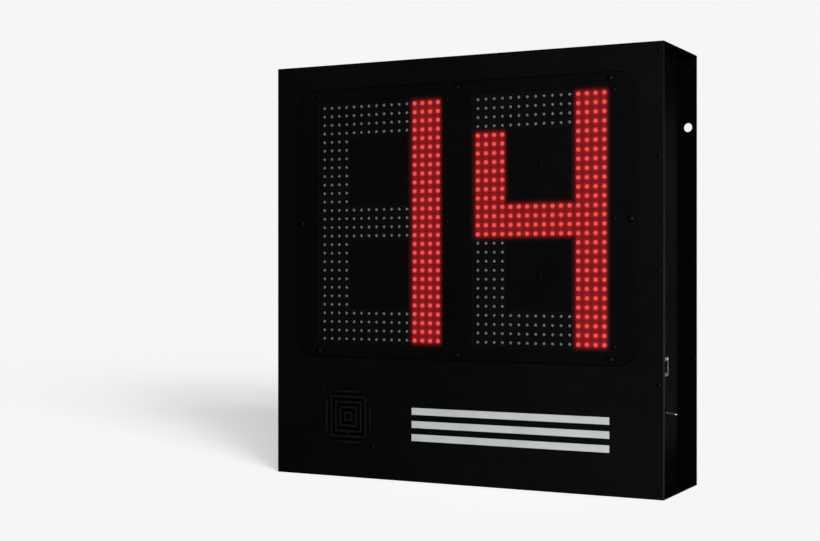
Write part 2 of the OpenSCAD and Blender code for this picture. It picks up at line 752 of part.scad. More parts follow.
function connector_screw_places() = [for (s = [-1, 1])
    [side_y + s * (connector_w / 2 - connector_screw_in),
     connector_z + s * (connector_h / 2 - connector_screw_in)]];
module connector_shell() color([0.75, 0.75, 0.77]) difference() {
    union() {
        translate([web_x, side_y, connector_z]) rotate([90, 0, 90]) linear_extrude(flange_t)
            round_rect(connector_w, connector_h, connector_corner_r);
        rod_x([web_x + flange_t - connector_depth, side_y, connector_z], connector_r, connector_depth + 1);
    }
    rod_x([web_x - connector_depth, side_y, connector_z], connector_r - connector_wall, 2 * connector_depth);
    for (p = connector_screw_places())
        rod_x([web_x - 1, p.x, p.y], connector_screw_r + hole_play, flange_t + 2);
}
insert_x = web_x + flange_t - connector_depth + 1;
contact_places = [for (i = [0 : contact_count - 1]) let (turn = 360 * i / contact_count)
    [side_y, connector_z] + contact_ring_r * [cos(turn), sin(turn)]];
module connector_insert() color([0.08, 0.08, 0.08]) difference() {
    rod_x([insert_x, side_y, connector_z], connector_r - connector_wall, insert_t);
    for (p = contact_places) rod_x([insert_x - 1, p.x, p.y], contact_r, insert_t + 2);
}
module connector_contacts() color([0.8, 0.7, 0.4]) for (p = contact_places)
    rod_x([insert_x - contact_back, p.x, p.y], contact_r, contact_back + insert_t + contact_front);
module connector_screws() color([0.6, 0.6, 0.62]) for (p = connector_screw_places()) union() {
    rod_x([wall_x - connector_tail, p.x, p.y], connector_screw_r, connector_tail + sheet_t + flange_t);
    rod_x([web_x + flange_t, p.x, p.y], connector_head_r, connector_head_h);
}
module connector_nuts() color([0.6, 0.6, 0.62]) for (p = connector_screw_places()) difference() {
    translate([wall_x - connector_nut_h, p.x, p.y]) rotate([0, 90, 0])
        cylinder(h = connector_nut_h, r = connector_nut_r, $fn = 6);
    rod_x([wall_x - connector_nut_h - 1, p.x, p.y], connector_screw_r, connector_nut_h + 2);
}

// ---- Switch ----

module switch_case() color([0.5, 0.08, 0.06]) difference() {
    corner = [case_deep, case_w, case_l] / 2;
    wall = [case_wall, case_wall, case_wall];
    middle = [case_x, side_y, switch_z] + [case_deep / 2, 0, 0];
    block(middle - corner, middle + corner);
    block(middle - corner + wall, middle + corner - wall);
    rod_x([wall_x - case_wall - 1, side_y, switch_z], tail_hole_r, case_wall + 2);
}
module switch_bushing() color([0.7, 0.7, 0.72]) difference() {
    rod_x([bushing_x, side_y, switch_z], bushing_r, bushing_l);
    rod_x([bushing_x - 1, side_y, switch_z], bore_r, pivot_x - bushing_x + mouth_in + 1.1);
    translate([pivot_x + mouth_in, side_y, switch_z]) rotate([0, 90, 0])
        cylinder(h = bushing_x + bushing_l - pivot_x - mouth_in, r1 = bore_r, r2 = mouth_r);
    rod_y([pivot_x, side_y - bushing_r - 1, switch_z], pivot_r + pivot_play, 2 * bushing_r + 2);
}
module switch_washer() color([0.5, 0.5, 0.5]) difference() {
    rod_x([web_x, side_y, switch_z], bushing_r + washer_lap, washer_t);
    rod_x([web_x - 1, side_y, switch_z], bushing_r, washer_t + 2);
}
module switch_nut() color([0.12, 0.12, 0.12]) difference() {
    translate([web_x + washer_t, side_y, switch_z]) rotate([0, 90, 0])
        cylinder(h = nut_t, r = nut_flats / 2 / cos(30), $fn = 6);
    rod_x([web_x + washer_t - 1, side_y, switch_z], bushing_r, nut_t + 2);
}
// Bat lever with a ball at its pivot and a short tail inside the case
module switch_lever() color([0.75, 0.75, 0.77])
        translate([pivot_x, side_y, switch_z]) rotate([0, lever_tilt, 0]) difference() {
    union() {
        sphere(r = ball_r);
        rotate([0, 90, 0]) cylinder(h = lever_reach, r1 = lever_neck_r, r2 = lever_tip_r);
        translate([lever_reach, 0, 0]) sphere(r = lever_tip_r);
        rotate([0, -90, 0]) cylinder(h = tail_l, r = tail_r);
    }
    rod_y([0, -ball_r - 1, 0], pivot_r, 2 * ball_r + 2);
}
module switch_pin() color([0.6, 0.6, 0.62])
    rod_y([pivot_x, side_y - bushing_r + pin_inset, switch_z], pivot_r, 2 * (bushing_r - pin_inset));
module switch_terminals() color([0.8, 0.7, 0.4]) for (dz = [-lug_step, 0, lug_step])
    block([case_x - lug_l, side_y - lug_w / 2, switch_z + dz - tag_t / 2],
          [case_x, side_y + lug_w / 2, switch_z + dz + tag_t / 2]);

// ---- Control board ----

module control_board() color([0.02, 0.2, 0.08]) sheet(control_back_y, control_t) difference() {
    panel_rect([board_x, board_z], control_w, control_h);
    holes(standoff_places, board_screw_r + hole_play);
}
module board_standoffs() color([0.7, 0.7, 0.72]) for (p = standoff_places) difference() {
    rod_y([p.x, control_back_y, p.y], standoff_r, standoff_h);
    rod_y([p.x, control_back_y - 1, p.y], board_screw_r, standoff_h + 2);
}
module board_screws() color([0.6, 0.6, 0.62]) for (p = standoff_places) union() {
    rod_y([p.x, control_front_y - board_head_h, p.y], board_head_r, board_head_h);
    rod_y([p.x, control_front_y, p.y], board_screw_r, control_t + standoff_h + sheet_t);
}
// A block of [width, height], t thick, at [dx, dz] on the board's face
module on_board(at, size, t) {
    sheet(control_front_y, t) panel_rect([board_x, board_z] + at, size.x, size.y);
}
module board_chips() color([0.05, 0.05, 0.05]) {
    on_board([0, 15], [30, 30], 2.5);
    for (dx = [40, 60]) on_board([dx, 15], [10, 20], 3);
    for (dx = [-socket_dx, socket_dx]) on_board([dx, socket_dz], [socket_w, header_h], socket_t);
}
module board_capacitors() color([0.1, 0.12, 0.3]) for (dx = [-70, -52])
    rod_y([board_x + dx, control_front_y - capacitor_h, board_z + 15], capacitor_r, capacitor_h);
module terminal_block() color([0.1, 0.35, 0.15])
    on_board([0, block_dz], [block_l, block_h], block_t);
module power_converter() color([0.6, 0.6, 0.6])
    block([converter_x - converter_w / 2, back_panel_y - converter_t, converter_z - converter_h / 2],
          [converter_x + converter_w / 2, back_panel_y, converter_z + converter_h / 2]);

// ---- Wiring ----

module digit_ribbons() color([0.45, 0.45, 0.45]) for (s = [-1, 1]) {
    top = [s * digit_x + header_dx, board_back_y + header_t, header_z];
    foot = [board_x + s * socket_dx, control_front_y - socket_t, board_z + socket_dz];
    bow = [0, ribbon_bend, 0];
    cable(top, top + bow, foot - bow, foot, flat_section(ribbon_w, ribbon_t), [0, 0, 1]);
}
module connector_loom() color([0.05, 0.05, 0.05]) {
    start = [insert_x - contact_back, side_y, connector_z];
    end = [board_x + block_l / 2, control_front_y - block_t / 2, block_z];
    bow = [loom_bend, 0, 0];
    cable(start, start - bow, end + bow, end, round_section(loom_d), [0, 1, 0]);
}
module switch_leads() color([0.6, 0.1, 0.1]) {
    start = [case_x - lug_l, side_y, switch_z];
    end = [board_x + lead_dx, control_front_y - block_t / 2, block_z - block_h / 2];
    drop = [0, 0, lead_bend / 2];
    cable(start, start - [lead_bend, 0, 0], end - drop, end, round_section(lead_d), [0, 1, 0]);
}
module sounder_leads() color([0.6, 0.1, 0.1]) {
    start = [-sounder_x, frame_back_y + terminal_l, sounder_z + terminal_dz];
    end = [board_x - block_l / 2, control_front_y - block_t / 2, block_z];
    cable(start, start + [0, lead_bend, 0], end - [loom_bend, 0, 0], end, round_section(lead_d), [0, 0, 1]);
}

front_panel();
back_panel();
top_plate();
bottom_plate();
left_channel();
right_channel();
end_tabs();
front_rivets();
back_rivets();
end_rivets();
front_stripes();
face_plate();
face_gasket();
window_squares();
face_screws();
face_nuts();
left_mask();
right_mask();
left_board();
right_board();
board_spacers();
digit_rivets();
left_leds_lit();
left_leds_unlit();
right_leds_lit();
right_leds_unlit();
driver_chips();
ribbon_headers();
sounder_guard();
sounder_frame();
sounder_cone();
sounder_cap();
sounder_coil();
sounder_magnet();
sounder_screws();
sounder_nuts();
sounder_terminals();
connector_shell();
connector_insert();
connector_contacts();
connector_screws();
connector_nuts();
switch_case();
switch_bushing();
switch_washer();
switch_nut();
switch_lever();
switch_pin();
switch_terminals();
control_board();
board_standoffs();
board_screws();
board_chips();
board_capacitors();
terminal_block();
power_converter();
digit_ribbons();
connector_loom();
switch_leads();
sounder_leads();
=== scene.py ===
import bpy, bmesh
import json, math
import numpy as np
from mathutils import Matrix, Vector


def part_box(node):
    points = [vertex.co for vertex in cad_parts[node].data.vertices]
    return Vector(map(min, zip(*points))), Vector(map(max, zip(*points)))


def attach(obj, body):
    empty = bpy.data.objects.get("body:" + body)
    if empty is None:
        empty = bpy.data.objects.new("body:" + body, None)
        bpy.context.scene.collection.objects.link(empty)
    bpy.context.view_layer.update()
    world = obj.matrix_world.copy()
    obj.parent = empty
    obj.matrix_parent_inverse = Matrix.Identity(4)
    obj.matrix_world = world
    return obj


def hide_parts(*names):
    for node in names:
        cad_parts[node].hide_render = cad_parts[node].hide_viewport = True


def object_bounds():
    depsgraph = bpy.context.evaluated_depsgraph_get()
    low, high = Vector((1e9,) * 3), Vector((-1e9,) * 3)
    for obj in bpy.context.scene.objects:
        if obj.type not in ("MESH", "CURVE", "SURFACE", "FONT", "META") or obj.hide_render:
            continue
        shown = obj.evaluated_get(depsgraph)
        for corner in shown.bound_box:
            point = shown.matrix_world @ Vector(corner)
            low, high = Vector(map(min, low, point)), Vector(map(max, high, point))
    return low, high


# A two-digit LED display cabinet with a sounder, a side connector and a toggle switch.
# Metres throughout. The display faces -Y and the cabinet stands on z = 0.

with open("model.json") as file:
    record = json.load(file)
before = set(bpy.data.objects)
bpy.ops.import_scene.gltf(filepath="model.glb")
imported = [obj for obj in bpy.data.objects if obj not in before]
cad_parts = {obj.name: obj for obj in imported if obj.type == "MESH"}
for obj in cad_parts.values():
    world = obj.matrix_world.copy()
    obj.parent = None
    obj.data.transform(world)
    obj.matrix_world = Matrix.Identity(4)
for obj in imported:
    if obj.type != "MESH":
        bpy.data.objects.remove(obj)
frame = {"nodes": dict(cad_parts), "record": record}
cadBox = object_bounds()
nodes = frame["nodes"]
mm = 0.001
weld = 2e-6                                         # points closer than this are one point
print("frame loaded:", len(nodes), "nodes")

# ---------- camera, light and floor ----------

camera = dict(place=(0.8933, -1.8609, 0.3067), turn=25.98, lens=61.51, shift=(-0.0762, -0.0007))
eye = bpy.data.objects.new("eye", bpy.data.cameras.new("eye"))
bpy.context.scene.collection.objects.link(eye)
eye.location = camera["place"]
eye.rotation_euler = (math.radians(90), 0, math.radians(camera["turn"]))
eye.data.sensor_width = 36
eye.data.lens = camera["lens"]
eye.data.shift_x, eye.data.shift_y = camera["shift"]
bpy.context.scene.camera = eye
bpy.context.scene.view_settings.view_transform = "Standard"

studio = dict(
    paper=0.922,            # tone of the floor and the backdrop
    floorSize=60,
    floorDrop=0.2 * mm,     # keeps the floor clear of the underside
    floorTone=0.8,
    ambient=0.03,           # what the object sees of the room
    sunHeight=18, sunSide=-43, sunAway=9,
    suns=(("wideSun", 3.4, 33), ("narrowSun", 1.0, 10)),        # name, strength, spread in degrees
    lamps=(                 # name, place, target, size, watts, colour
        ("keyLamp", (1.5, -2.6, 0.55), (0, 0, 0.3), 1.6, 76, (1.0, 1.0, 1.0)),
        ("lowLamp", (1.5, -1.5, 0.15), (0.25, -0.07, 0.1), 0.7, 9, (0.82, 0.94, 1.0)),
        ("rimLamp", (1.9, 1.1, 0.25), (0.28, 0, 0.25), 0.9, 7, (0.95, 0.98, 1.0)),
        ("backLamp", (-1.9, 2.3, 1.4), (0, 0, 0.3), 1.4, 30, (1.0, 1.0, 1.0)),
    ),
)


class Sock:
    # One shader output. Python's operators on it add Math nodes.
    def __init__(self, finish, out):
        self.finish, self.out = finish, out

    def math(self, operation, *others):
        values = {0: self}
        for i, other in enumerate(others):
            values[i + 1] = other
        return self.finish.node("ShaderNodeMath", dict(operation=operation), values)

    def __add__(self, other): return self.math("ADD", other)
    def __mul__(self, other): return self.math("MULTIPLY", other)
    def __sub__(self, other): return self.math("SUBTRACT", other)
    def __truediv__(self, other): return self.math("DIVIDE", other)
    def __abs__(self): return self.math("ABSOLUTE")
    def __rsub__(self, other): return (self * -1) + other

    def __rtruediv__(self, other):
        return self.finish.node("ShaderNodeMath", dict(operation="DIVIDE"), {0: other, 1: self})

    __radd__, __rmul__ = __add__, __mul__

    def root(self): return self.math("SQRT")
    def least(self, other): return self.math("MINIMUM", other)
    def most(self, other): return self.math("MAXIMUM", other)
    def exp(self): return self.math("EXPONENT")

    def step(self, low, high):                      # 0 below low, 1 above high, smooth between
        return self.finish.node("ShaderNodeMapRange", dict(interpolation_type="SMOOTHSTEP"),
                                {"Value": self, "From Min": low, "From Max": high})


class Finish:
    # One material with one Principled shader
    def __init__(self, name, **constants):
        self.material = bpy.data.materials.new(name)
        self.material.use_nodes = True
        self.tree = self.material.node_tree
        self.shader = self.tree.nodes["Principled BSDF"]
        self.put(**constants)

    def put(self, **values):                        # BaseColor=... reaches the socket "Base Color"
        for key, value in values.items():
            words = "".join(" " + c if c.isupper() and i else c for i, c in enumerate(key))
            self.link(self.shader.inputs[words.replace("I O R", "IOR")], value)

    def link(self, socket, value):
        if isinstance(value, Sock):
            self.tree.links.new(value.out, socket)
        elif socket.type == "RGBA" and len(value) == 3:
            socket.default_value = (*value, 1)
        else:
            socket.default_value = value

    def node(self, kind, settings=None, values=None, out=None):
        made = self.tree.nodes.new(kind)
        for key, value in (settings or {}).items():
            setattr(made, key, value)
        for key, value in (values or {}).items():
            self.link(made.inputs[key], value)
        shown = [o for o in made.outputs if o.enabled]
        return Sock(self, made.outputs[out] if out else shown[0])

    def place(self, stretch=(1, 1, 1)):             # Object coordinates, stretched for a grain
        where = self.node("ShaderNodeTexCoord", out="Object")
        if stretch == (1, 1, 1):
            return where
        return self.node("ShaderNodeVectorMath", dict(operation="MULTIPLY"), {0: where, 1: stretch})

    def noise(self, scale, detail=2, rough=0.5, stretch=(1, 1, 1)):
        return self.node("ShaderNodeTexNoise", None, {"Vector": self.place(stretch), "Scale": scale,
                                                      "Detail": detail, "Roughness": rough}, "Fac")

    def cells(self, scale):
        return self.node("ShaderNodeTexVoronoi", None, {"Vector": self.place(), "Scale": scale}, "Distance")

    def axes(self):                                 # x, y and z of the object's coordinates
        parts = self.tree.nodes.new("ShaderNodeSeparateXYZ")
        self.link(parts.inputs[0], self.place())
        return [Sock(self, o) for o in parts.outputs]

    def blend(self, share, first, second):
        return self.node("ShaderNodeMix", dict(data_type="RGBA"), {0: share, 6: first, 7: second})

    def bump(self, height, strength, depth):
        self.put(Normal=self.node("ShaderNodeBump", None,
                                  {"Strength": strength, "Distance": depth, "Height": height}))


def makeWorld():
    world = bpy.data.worlds.new("room")
    bpy.context.scene.world = world
    world.use_nodes = True
    tree = world.node_tree
    tree.nodes.clear()
    seen, room = (tree.nodes.new("ShaderNodeBackground") for _ in range(2))
    seen.inputs["Color"].default_value = (*[studio["paper"]] * 3, 1)
    room.inputs["Color"].default_value = (*[studio["ambient"]] * 3, 1)
    ray, mix, out = (tree.nodes.new(k) for k in (
        "ShaderNodeLightPath", "ShaderNodeMixShader", "ShaderNodeOutputWorld"))
    tree.links.new(ray.outputs["Is Camera Ray"], mix.inputs[0])
    tree.links.new(room.outputs[0], mix.inputs[1])
    tree.links.new(seen.outputs[0], mix.inputs[2])
    tree.links.new(mix.outputs[0], out.inputs[0])


def makeFloor():
    half = studio["floorSize"] / 2
    mesh = bpy.data.meshes.new("floor")
    corners = [(-half, -half, 0), (half, -half, 0), (half, half, 0), (-half, half, 0)]
    mesh.from_pydata(corners, [], [(0, 1, 2, 3)])
    floor = bpy.data.objects.new("floor", mesh)
    bpy.context.scene.collection.objects.link(floor)
    floor.location.z = -studio["floorDrop"]
    floor.visible_glossy = floor.visible_diffuse = False
    material = bpy.data.materials.new("floorPaper")
    material.use_nodes = True
    tree = material.node_tree
    tree.nodes.clear()
    glow, matt, both, out = (tree.nodes.new(k) for k in (
        "ShaderNodeEmission", "ShaderNodeBsdfDiffuse", "ShaderNodeAddShader", "ShaderNodeOutputMaterial"))
    strength = sum(power for _, power, _ in studio["suns"])
    sunShare = strength * math.sin(math.radians(studio["sunHeight"])) / math.pi + studio["ambient"]
    glow.inputs["Strength"].default_value = studio["paper"] - studio["floorTone"] * sunShare
    glow.inputs["Color"].default_value = (1, 1, 1, 1)
    matt.inputs["Color"].default_value = (*[studio["floorTone"]] * 3, 1)
    tree.links.new(glow.outputs[0], both.inputs[0])
    tree.links.new(matt.outputs[0], both.inputs[1])
    tree.links.new(both.outputs[0], out.inputs[0])
    mesh.materials.append(material)
    return floor


def makeLamp(name, kind, place, target):
    lamp = bpy.data.objects.new(name, bpy.data.lights.new(name, kind))
    bpy.context.scene.collection.objects.link(lamp)
    lamp.location = place
    lamp.rotation_euler = (Vector(target) - Vector(place)).to_track_quat("-Z", "Y").to_euler()
    return lamp


def lightOnly(lamp, floor, state):
    # The suns light the floor alone (INCLUDE), the lamps all but the floor (EXCLUDE)
    group = bpy.data.collections.new(lamp.name + "Group")
    group.objects.link(floor)
    group.collection_objects[0].light_linking.link_state = state
    lamp.light_linking.receiver_collection = group


makeWorld()
floor = makeFloor()
side, height = math.radians(studio["sunSide"]), math.radians(studio["sunHeight"])
for name, power, spread in studio["suns"]:
    towards = (math.cos(side) * math.cos(height), math.sin(side) * math.cos(height), math.sin(height))
    sun = makeLamp(name, "SUN", [studio["sunAway"] * c for c in towards], (0, 0, 0))
    sun.data.energy, sun.data.angle = power, math.radians(spread)
    lightOnly(sun, floor, "INCLUDE")
for name, place, target, size, watts, colour in studio["lamps"]:
    lamp = makeLamp(name, "AREA", place, target)
    lamp.data.shape, lamp.data.size = "SQUARE", size
    lamp.data.energy, lamp.data.color = watts, colour
    lightOnly(lamp, floor, "EXCLUDE")
print("camera, lamps and floor placed")

# ---------- places taken from the CAD ----------


def islands(name):
    # Loose parts of a node: every point takes the lowest label met along its edges until nothing changes.
    # Gives each part's lowest and highest corner, as an array of parts x 2 x 3.
    mesh = nodes[name].data
    points = np.empty(len(mesh.vertices) * 3)
    mesh.vertices.foreach_get("co", points)
    edges = np.empty(len(mesh.edges) * 2, int)
    mesh.edges.foreach_get("vertices", edges)
    points = points.reshape(-1, 3)
    same = np.unique(np.round(points * 1e6).astype(int), axis=0, return_inverse=True)[1].reshape(-1)
    a, b = same[edges.reshape(-1, 2)].T
    label = np.arange(same.max() + 1)
    while True:
        lowest = np.minimum(label[a], label[b])
        new = label.copy()
        np.minimum.at(new, a, lowest)
        np.minimum.at(new, b, lowest)
        new = new[new]
        if (new == label).all():
            break
        label = new
    groups = np.unique(label[same], return_inverse=True)[1].reshape(-1)
    boxes = np.full((groups.max() + 1, 2, 3), np.inf)
    boxes[:, 1] = -np.inf
    np.minimum.at(boxes[:, 0], groups, points)
    np.maximum.at(boxes[:, 1], groups, points)
    return boxes


def centre(name):
    low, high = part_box(name)
    return (low + high) / 2


# ---------- mesh helpers ----------


def gridFaces(rows, columns, closeRows=False, closeColumns=False):
    # Quads between neighbouring points of a grid stored row after row
    i = np.arange(rows if closeRows else rows - 1)[:, None]
    j = np.arange(columns if closeColumns else columns - 1)[None, :]
    k, l = (i + 1) % rows, (j + 1) % columns
    return np.stack([i * columns + j, i * columns + l, k * columns + l, k * columns + j], -1).reshape(-1, 4)


def revolved(profile, sides):
    # A profile of (radius, distance along the axis), turned about the axis
    profile = np.asarray(profile, float)
    turn = np.arange(sides) * 2 * math.pi / sides
    radius, along = profile[:, :1], profile[:, 1:]
    points = np.stack([radius * np.cos(turn), radius * np.sin(turn), along + 0 * turn], -1).reshape(-1, 3)
    return points, gridFaces(len(profile), sides, False, True)


def arc(centreR, centreA, radius, start, end, count):
    # Points of a circular arc in a profile's plane, from angle start to angle end in degrees
    a = np.radians(np.linspace(start, end, count))
    return np.stack([centreR + radius * np.cos(a), centreA + radius * np.sin(a)], -1)


def toFront(points):                                # the axis points to -Y
    return np.stack([points[:, 0], -points[:, 2], points[:, 1]], -1)


def toRight(points):                                # the axis points to +X
    return np.stack([points[:, 2], points[:, 0], points[:, 1]], -1)


def repeated(shape, places):
    # The same shape at each place, as one array of points and one of faces
    points, faces = shape
    places = np.asarray(places, float)
    many = (places[:, None, :] + points[None]).reshape(-1, 3)
    shift = np.arange(len(places))[:, None, None] * len(points)
    return many, (faces[None] + shift).reshape(-1, faces.shape[1])


def joined(*shapes):
    points, faces, start = [], [], 0
    for p, f in shapes:
        points.append(p)
        faces.append(f + start)
        start += len(p)
    return np.concatenate(points), np.concatenate(faces)


def newPiece(name, shape, finish, replaced, body="cabinet", crease=40):
    points, faces = shape
    mesh = bpy.data.meshes.new(name)
    mesh.from_pydata(points.tolist(), [], faces.tolist())
    work = bmesh.new()
    work.from_mesh(mesh)
    bmesh.ops.remove_doubles(work, verts=work.verts, dist=weld)
    bmesh.ops.recalc_face_normals(work, faces=work.faces)
    work.to_mesh(mesh)
    work.free()
    return register(name, mesh, finish, replaced, body, crease)


def register(name, mesh, finish, replaced, body, crease):
    piece = bpy.data.objects.new(name, mesh)
    bpy.context.scene.collection.objects.link(piece)
    mesh.materials.clear()
    mesh.materials.append(finish.material)
    mesh.shade_smooth()
    mesh.set_sharp_from_angle(angle=math.radians(crease))
    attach(piece, body)
    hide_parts(*replaced)
    return piece


def softened(name, node, finish, width, shortest=0.8 * mm, turns=2):
    # The CAD shape with its long edges rounded off, as a press or a mould leaves them
    work = bmesh.new()
    work.from_mesh(nodes[node].data)
    bmesh.ops.remove_doubles(work, verts=work.verts, dist=weld)
    bmesh.ops.dissolve_limit(work, angle_limit=math.radians(0.5), verts=work.verts, edges=work.edges)
    weight = work.edges.layers.float.new("bevel_weight_edge")
    for edge in work.edges:
        bent = len(edge.link_faces) == 2 and edge.calc_face_angle(0) > math.radians(35)
        edge[weight] = 1.0 if bent and edge.calc_length() > shortest else 0.0
    mesh = bpy.data.meshes.new(name)
    work.to_mesh(mesh)
    work.free()
    piece = register(name, mesh, finish, [node], "cabinet", 35)
    bevel = piece.modifiers.new("softEdges", "BEVEL")
    bevel.limit_method, bevel.width, bevel.segments = "WEIGHT", width, turns
    bevel.use_clamp_overlap = False
    # large flat faces keep their own normals
    flat = piece.modifiers.new("flatNormals", "WEIGHTED_NORMAL")
    flat.weight, flat.keep_sharp = 100, True
    return piece


# ---------- finishes ----------


def powderCoat(name, look, *overs):
    # Sprayed powder: a fine orange peel, and a cloudy drift of tone and shine.
    # Each of overs is a share and a tone laid on top, such as painted shade and a painted edge highlight.
    f = Finish(name, SpecularIORLevel=look["shine"], Metallic=0)
    peel = f.noise(look["peel"], 3, 0.6)
    cloud = f.noise(look["cloud"], 4, 0.55)
    wearAndHighlight = f.noise(look["cloud"] * 6, 5, 0.7)
    tone = f.blend((cloud * 0.7 + wearAndHighlight * 0.3).step(0.3, 0.7), look["dark"], look["light"])
    for share, top in overs:
        tone = f.blend(share(f), tone, top)
    f.put(BaseColor=tone, Roughness=(cloud - 0.5) * 0.16 + (wearAndHighlight - 0.5) * 0.12 + look["rough"])
    f.bump(peel, look["bump"], 0.12 * mm)
    return f


def moulded(name, look):
    # Moulded plastic or rubber: a fine spark-eroded grain and slight flow marks
    f = Finish(name, SpecularIORLevel=look["shine"], Metallic=0)
    grain = f.noise(look["grain"], 2, 0.5)
    flow = f.noise(35, 3, 0.5, (1, 1, 0.25))
    f.put(BaseColor=f.blend(flow.step(0.3, 0.7), look["dark"], look["light"]),
          Roughness=(grain - 0.5) * 0.12 + look["rough"])
    f.bump(grain, look["bump"], 0.05 * mm)
    return f


def plated(name, look, *overs):
    # Plated or bare metal: drawn scratches one way, dull patches where it was handled. Overs as above.
    f = Finish(name, Metallic=1.0)
    drawn = f.noise(look["drawn"], 2, 0.6, look.get("stretch", (1, 1, 0.08)))
    patch = f.noise(look["patch"], 4, 0.6)
    tone = f.blend(patch.step(0.35, 0.75), look["light"], look["dark"])
    for share, top in overs:
        tone = f.blend(share(f), tone, top)
    f.put(BaseColor=tone, Roughness=(drawn - 0.5) * 0.18 + patch * 0.12 + look["rough"])
    f.bump(drawn, look["bump"], 0.02 * mm)
    return f


# Tones laid over the finishes, all painted light and shade: shade deep in the side channels, at their ends
# and in the connector's bore, light just behind the panel's edge, a highlight on the panel's side edges, and
# the shadow round the face plate
overs = dict(
    deep=(0.0018, 0.0018, 0.002), ends=(0.0035, 0.0035, 0.0036), barrel=(0.012, 0.012, 0.012),
    mouth=(0.034, 0.035, 0.0365), edge=(0.03, 0.031, 0.031), gap=(0.0001, 0.0001, 0.0001),
)
# Where each overlay starts and where it is full, from the cabinet's back, side, top, front or underside
shadeAt = dict(
    deepFrom=23 * mm, deepFull=4 * mm,
    footFrom=90 * mm, footFull=30 * mm, topFrom=132 * mm, topFull=32 * mm,
    mouthOut=90 * mm, mouthIn=70 * mm, mouthLow=20 * mm, mouthHigh=160 * mm,
    mouthTop=700 * mm, mouthTopFull=200 * mm,
    barrelFrom=23.5 * mm, barrelFull=24.8 * mm,
    edgeFrom=1.2 * mm, edgeFull=0.4 * mm, edgeFade=1.3,
    # the painted shadow round the face plate is shifted to the left, away from the light
    plateCorner=26 * mm, plateShift=1.2 * mm, jointShadowFrom=2.6 * mm, jointShadowFull=1.1 * mm,
)
halfWide, backY, topZ = cadBox[1]
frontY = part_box("front_panel")[0].y


def deepShade(f):                                   # little light reaches the back of the side channels
    return f.axes()[1].step(backY - shadeAt["deepFrom"], backY - shadeAt["deepFull"])


def endShade(f):                                    # nor the channels' ends, by the end plates
    z = f.axes()[2]
    foot = z.step(shadeAt["footFrom"], shadeAt["footFull"])
    return foot.most(z.step(topZ - shadeAt["topFrom"], topZ - shadeAt["topFull"]))


def barrelShade(f):                                 # the connector's bore, below its flange
    return f.axes()[0].step(halfWide - shadeAt["barrelFrom"], halfWide - shadeAt["barrelFull"])


def mouthLight(f):
    # More light reaches the channel just behind the panel's edge, away from the ends
    x, y, z = f.axes()
    near = y.step(frontY + shadeAt["mouthOut"], frontY + shadeAt["mouthIn"])
    above = z.step(shadeAt["mouthLow"], shadeAt["mouthHigh"])
    return near * above * z.step(shadeAt["mouthTop"], shadeAt["mouthTopFull"])


def paintedEdgeHighlight(f):                                  # painted highlight on the panel's outer side edges, stronger towards the floor
    x, y, z = f.axes()
    wearAndHighlight = abs(x).step(halfWide - shadeAt["edgeFrom"], halfWide - shadeAt["edgeFull"])
    return wearAndHighlight * (1 - z * shadeAt["edgeFade"])


def plateJointShadow(f):
    # The dark joint round the face plate with the shadow the raised plate casts painted in: a thin band
    # outside a rounded rectangle, shifted to the left, away from the light. The distance to it is the length
    # of (|x| - w,
    # |z| - h) beyond the corner's centre, less the corner's radius.
    low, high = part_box("face_plate")
    x, y, z = f.axes()
    corner = shadeAt["plateCorner"]
    middle, half = (low + high) / 2, (high - low) / 2
    dx = (abs(x + shadeAt["plateShift"] - middle.x) - (half.x - corner)).most(0)
    dz = (abs(z - middle.z) - (half.z - corner)).most(0)
    away = (dx * dx + dz * dz).root() - corner
    return away.step(shadeAt["jointShadowFrom"], shadeAt["jointShadowFull"])


